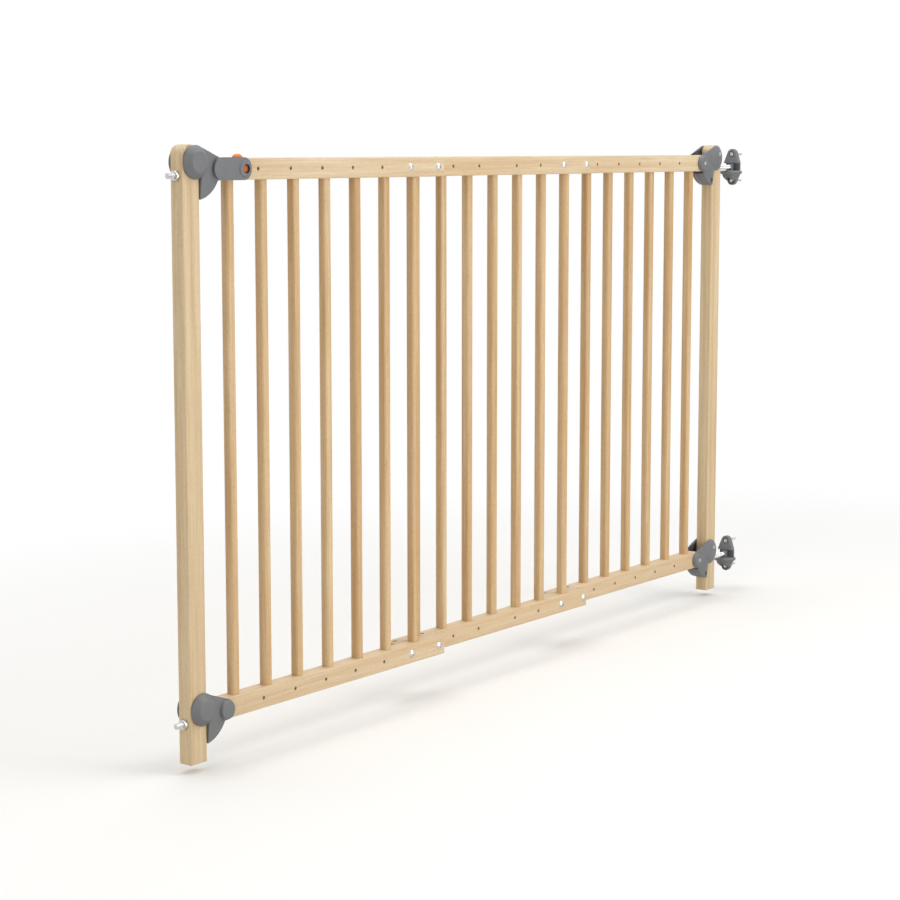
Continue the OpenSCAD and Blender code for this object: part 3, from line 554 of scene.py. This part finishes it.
def lock_arm():
    """Hollow arm along the rail with a ringed window in its end."""
    shell = wrap(bar(ARM_R, PLATE_IN, ARM_TOP, ARM_START), bar(ARM_R, PLATE_IN, ARM_TOP, ARM_END))
    shell = ease(shell, ARM_EDGE, 4)
    ring = ease(bar(RING_R, RING_LOW, RING_TOP, RING, tip=RING_TIP), RING_EDGE)
    inside = wrap(bar(INSIDE_START_R, INSIDE_LOW, INSIDE_TOP, INSIDE_START),
                  bar(INSIDE_END_R, INSIDE_LOW, INSIDE_TOP, ARM_END))
    cut(shell, inside)
    for part in (shell, ring):
        cut(part, bar(WINDOW_R, INSIDE_LOW - 1, ABOVE, WINDOW))
    return shell, ring


locking_half = together(twin(closed_half), *lock_arm())
print("half with the arm:", len(locking_half.data.polygons), "faces")

# %% [markdown]
# ## Place the halves
# The halves turn up with their outer face towards the front or the back of the gate. The
# right links are the left ones turned half round. The pivots are the frame's own.


# %% Place the halves
def stood_up(half, side, pivot, outwards):
    """Stands a half up at its post pivot. outwards is -1 for the front and 1 for the back."""
    x, y, z = [v * MM for v in pivot]
    half.matrix_world = Matrix(((-side, 0, 0, x), (0, 0, outwards, y), (0, 1, 0, z), (0, 0, 0, 1)))
    return settle(half)


high, low = joint_at["right_lift"][2], joint_at["right_lower_turn"][2]
ends = (("left", -1, joint_at["left_post_turn"]), ("right", 1, joint_at["right_lift"]))
for end, side, (x, y, _) in ends:
    for level, z in (("upper", high), ("lower", low)):
        body = f"{end}_{level}_link"
        capped = locking_half if (end, level) == ("left", "upper") else closed_half
        front, rear = (capped, screwed_half) if side < 0 else (screwed_half, capped)
        for half, outwards, face in ((front, -1, "front"), (rear, 1, "rear")):
            shell = stood_up(twin(half), side, (x, y, z), outwards)
            finished(shell, f"{body}_{face}_shell", grey_polyamide, body, "grey_plastic", f"{body}_{face}")
for draft in (closed_half, screwed_half, locking_half):
    bpy.data.objects.remove(draft)

# %% [markdown]
# ## Wall brackets
# A bracket is one moulding. A tapered plate carries the upper screw, a full-width window
# lets the stud swing, and a round shelf with a bowl below it holds the foot of the barrel. The
# lower screw sits in a deep round recess of the bowl. It is drawn with the stud at height zero
# and the wall at X zero, and the bowl is a stack of cones from the shelf down.

# %% Sizes of a bracket
STUD_LEVELS = {level: mount_at[f"{level}_bracket_screws"][2] for level in ("lower", "upper")}
SWING = (joint_at["gate_swing"][0], 0)
BARREL_R, BARREL_LOW, BARREL_HIGH = 4.75, -15.5, 6.2
SOCKET_R, SOCKET_FLOOR = BARREL_R + 0.25, -15.9

# Every OUT and the two places of the screw seats are X values, which fall away from the wall.
SCREW_Z = 24
HEAD_SEAT = -5.5
UPPER_SEAT_R, LOWER_SEAT_R = 4.95, 6.6
SEAT_MOUTH = {"upper": -20, "lower": -60}
HALF_WIDTH = 14.4
BACK_OUT, BACK_LOW, BACK_HIGH = -3.4, -8, 9
UPPER_R, UPPER_OUT, UPPER_FOOT_OUT, UPPER_FOOT = 9.2, -7.7, -11, 7.3
LOWER_R, LOWER_OUT, LOWER_LOW, LOWER_TOP = 8.4, -7.6, -12, -11

# The shelf, and the bowl's cones as radius and height, from the top down.
SHELF_R, SHELF_LOW, SHELF_HIGH = 20.4, -12.4, -6
BOWL = ((16.2, -12.2), (13.8, -18.8), (9, -23), (4, -26.5))
UPPER_EDGE, LOWER_EDGE, SHELF_EDGE, BOWL_EDGE, BARREL_EDGE = 1.0, 0.6, 2.8, 0.6, 0.5
print("stud levels:", STUD_LEVELS, "swing axis at", SWING)


# %% Wall brackets
def wall_bracket():
    """One bracket with the swing axis upright and the stud's height at zero."""
    upper = wrap(lying(UPPER_R, UPPER_OUT, 0, 0, SCREW_Z),
                 box((UPPER_FOOT_OUT, -HALF_WIDTH, UPPER_FOOT), (0, HALF_WIDTH, BACK_HIGH)))
    back = box((BACK_OUT, -HALF_WIDTH, BACK_LOW), (0, HALF_WIDTH, BACK_HIGH))
    lower = wrap(box((LOWER_OUT, -HALF_WIDTH, LOWER_LOW), (0, HALF_WIDTH, LOWER_TOP)),
                 lying(LOWER_R, LOWER_OUT, 0, 0, -SCREW_Z))
    shelf = ease(bar(SHELF_R, SHELF_LOW, SHELF_HIGH, SWING, sides=96), SHELF_EDGE, 5)
    bowl = wrap(*[bar(foot_r, foot, top, SWING, tip=top_r)
                  for (top_r, top), (foot_r, foot) in zip(BOWL, BOWL[1:])])
    for part in (shelf, bowl):
        halve(part, (0, 0, 0), (1, 0, 0))
        cut(part, bar(SOCKET_R, SOCKET_FLOOR, 0, SWING))
    cut(upper, lying(UPPER_SEAT_R, SEAT_MOUTH["upper"], HEAD_SEAT, 0, SCREW_Z))
    for part in (lower, bowl):
        cut(part, lying(LOWER_SEAT_R, SEAT_MOUTH["lower"], HEAD_SEAT, 0, -SCREW_Z))
    return together(ease(upper, UPPER_EDGE, 3), back, ease(lower, LOWER_EDGE), shelf,
                    ease(bowl, BOWL_EDGE))


bracket = wall_bracket()
for level, z in STUD_LEVELS.items():
    finished(moved(twin(bracket), z=z), f"{level}_bracket_shell", grey_polyamide, "wall_brackets",
             "grey_plastic", f"{level}_wall_bracket")
bpy.data.objects.remove(bracket)
barrels = [moved(ease(bar(BARREL_R, BARREL_LOW, BARREL_HIGH, SWING), BARREL_EDGE), z=z)
           for z in STUD_LEVELS.values()]
finished(together(*barrels), "pivot_barrels_moulded", grey_polyamide, "right_post", "grey_plastic",
         "pivot_barrels")

# %% [markdown]
# ## Threads and nuts
# The studs are M8, so a thread crest comes every 1.25 mm, between 6.6 and 8 mm across. One crest is
# a pair of cones, and an array repeats it along the bar. Only the walls of the cones are kept, so
# the bar has no faces inside, and its two ends are closed at last. A nut is a six-sided bar with a
# round face at each end, wrapped in one skin, which gives it its chamfer.

# %% Threads
THREAD_PITCH = 1.25
ROOT_R, CREST_R = 3.3, 4.0
THREAD_SIDES = 32


def thread(start, length, z, y):
    """Threaded bar along X, made of one crest repeated and closed at its two ends."""
    half = THREAD_PITCH / 2
    rise = lying(ROOT_R, start, start + half, tip=CREST_R, sides=THREAD_SIDES)
    fall = lying(CREST_R, start + half, start + THREAD_PITCH, tip=ROOT_R, sides=THREAD_SIDES)
    crest = together(rise, fall)
    bpy.ops.object.mode_set(mode="EDIT")
    bpy.ops.mesh.select_all(action="DESELECT")
    bpy.ops.object.mode_set(mode="OBJECT")
    # The cones' round ends face along X.
    for face in crest.data.polygons:
        face.select = abs(face.normal.x) > 0.99
    bpy.ops.object.mode_set(mode="EDIT")
    bpy.ops.mesh.select_mode(type="FACE")
    bpy.ops.mesh.delete(type="ONLY_FACE")
    bpy.ops.object.mode_set(mode="OBJECT")
    modify(crest, "ARRAY", count=int(length / THREAD_PITCH), use_relative_offset=False,
           use_constant_offset=True, constant_offset_displace=(THREAD_PITCH * MM, 0, 0))
    bpy.ops.object.mode_set(mode="EDIT")
    bpy.ops.mesh.select_all(action="SELECT")
    bpy.ops.mesh.remove_doubles(threshold=MERGE)
    bpy.ops.mesh.fill_holes(sides=0)
    bpy.ops.object.mode_set(mode="OBJECT")
    return moved(crest, y=y, z=z)


# %% Studs and nuts
LEFT_Y = joint_at["left_post_turn"][1]
LEFT_STUD_END, LEFT_STUD_LENGTH = -1527, 21.25
RIGHT_STUD_START, RIGHT_STUD_LENGTH = -92, 75
SPIGOT_R, SPIGOT_START, SPIGOT_END = 2.4, -18, -8
NUT_START, NUT_END = -1515.5, -1509.0
SIX_SIDES_START, SIX_SIDES_END = NUT_START + 0.9, NUT_END - 0.6
NUT_R, NUT_FACE_R = 7.5, 6.4
left_threads, nuts, right_threads = [], [], []
for z in STUD_LEVELS.values():
    left_threads += [thread(LEFT_STUD_END, LEFT_STUD_LENGTH, z, LEFT_Y)]
    nuts += [wrap(lying(NUT_FACE_R, NUT_START, NUT_START + 0.5, LEFT_Y, z),
                  lying(NUT_R, SIX_SIDES_START, SIX_SIDES_END, LEFT_Y, z, sides=6),
                  lying(NUT_FACE_R, NUT_END - 0.4, NUT_END, LEFT_Y, z))]
    right_threads += [thread(RIGHT_STUD_START, RIGHT_STUD_LENGTH, z, 0),
                      lying(SPIGOT_R, SPIGOT_START, SPIGOT_END, 0, z)]
finished(together(*left_threads), "left_stud_threads", zinc, "left_post", "zinc_steel", "left_studs")
finished(together(*nuts), "left_hex_nuts", zinc, "left_post", "zinc_steel", "left_stud_nuts")
finished(together(*right_threads), "right_stud_threads", zinc, "right_post", "zinc_steel", "right_studs")

# %% [markdown]
# ## The floor
# A plain pale floor takes the gate's soft shadow. Far from the gate it fades to white, so no
# horizon shows. The fade is a distance from the middle of the gate, worked out on the floor.
# The gate hangs on its brackets, so the floor lies a little below its lowest point.

# %% Floor
lowest, highest = cad_box
middle = (lowest + highest) / 2
FLOOR_DROP = 12
FADE_START, FADE_END = 0.7, 1.7
FADE_SQUEEZE = (0.8, 1.1, 0)
FLOOR_SIZE = 24
floor_z = lowest.z - FLOOR_DROP * MM


def studio_floor():
    """Pale matt floor that fades to white away from the gate."""
    material, place = start_material("pale studio floor")
    from_gate = add(material, "ShaderNodeVectorMath", {0: place, 1: (middle.x, middle.y, floor_z)},
                    operation="SUBTRACT")
    squeezed = add(material, "ShaderNodeVectorMath", {0: from_gate.outputs[0], 1: FADE_SQUEEZE},
                   operation="MULTIPLY")
    far = add(material, "ShaderNodeVectorMath", {0: squeezed.outputs[0]}, operation="LENGTH")
    fade = add(material, "ShaderNodeMapRange", interpolation_type="SMOOTHSTEP", inputs={
        "Value": far.outputs["Value"], "From Min": FADE_START, "From Max": FADE_END})
    rays = add(material, "ShaderNodeLightPath")
    matt = add(material, "ShaderNodeBsdfDiffuse", {
        "Color": blend(material, rays.outputs["Is Camera Ray"], linear("#E2E0DD"), linear("#F0F0EF"))})
    white = add(material, "ShaderNodeEmission", {"Color": (1, 1, 1, 1), "Strength": 1.0})
    seen = add(material, "ShaderNodeMath", {0: fade.outputs[0], 1: rays.outputs["Is Camera Ray"]},
               operation="MULTIPLY")
    return end_material(material, add(material, "ShaderNodeMixShader", {
        0: seen.outputs[0], 1: matt.outputs[0], 2: white.outputs[0]}))


bpy.ops.mesh.primitive_plane_add(size=FLOOR_SIZE, location=(0, 0, 0))
floor = bpy.context.object
floor.name = "floor"
bpy.ops.object.mode_set(mode="EDIT")
bpy.ops.mesh.select_all(action="SELECT")
bpy.ops.transform.translate(value=(middle.x, middle.y, floor_z))
bpy.ops.object.mode_set(mode="OBJECT")
floor.data.materials.append(studio_floor())
print("floor", round(lowest.z / MM - floor_z / MM), "mm below the gate")

# %% [markdown]
# ## The light
# Four square lamps give soft shadows. The key stands in front of the gate and to its right,
# one lamp hangs over it, one fills from the left, and a low one lights the undersides. The
# world is pale too. It counts as 1, which is white, only where the camera or a reflection sees
# it, so that metal shows the same white room and the wood isn't washed out.


# %% Light
def soft_lamp(name, place, aim, size, power, colour):
    """Adds a square lamp that points at aim."""
    bpy.ops.object.light_add(type="AREA", location=place)
    lamp = bpy.context.object
    lamp.name = name
    lamp.rotation_euler = (Vector(aim) - Vector(place)).to_track_quat("-Z", "Y").to_euler()
    lamp.data.size = size
    lamp.data.energy = power
    lamp.data.color = linear(colour)[:3]
    return lamp


soft_lamp("key", (middle.x + 1.2, -2.6, 3.6), aim=middle, size=2.4, power=62, colour="#FFFCF7")
soft_lamp("overhead", (middle.x, 0.6, 3.4), aim=middle, size=3.0, power=60, colour="#FFFFFF")
soft_lamp("left fill", (-4.6, -0.8, 1.6), aim=middle, size=2.0, power=26, colour="#FFF9F0")
soft_lamp("low fill", (middle.x, -2.0, -0.02), aim=(middle.x, 0, 0.0), size=1.6, power=26,
          colour="#FFFFFF")

WORLD_ON_GATE = 0.50
world = bpy.data.worlds.new("white studio")
bpy.context.scene.world = world
world.use_nodes = True
world.node_tree.nodes.clear()
sky_rays = add(world, "ShaderNodeLightPath")
seen_rays = add(world, "ShaderNodeMath", {
    0: sky_rays.outputs["Is Camera Ray"], 1: sky_rays.outputs["Is Glossy Ray"]}, operation="MAXIMUM")
level = add(world, "ShaderNodeMapRange", {
    "Value": seen_rays.outputs[0], "To Min": WORLD_ON_GATE, "To Max": 1.0})
sky = add(world, "ShaderNodeBackground", {"Color": (1, 1, 1, 1), "Strength": level.outputs[0]})
add(world, "ShaderNodeOutputWorld", {"Surface": sky.outputs[0]})
bpy.context.scene.view_settings.view_transform = "Standard"
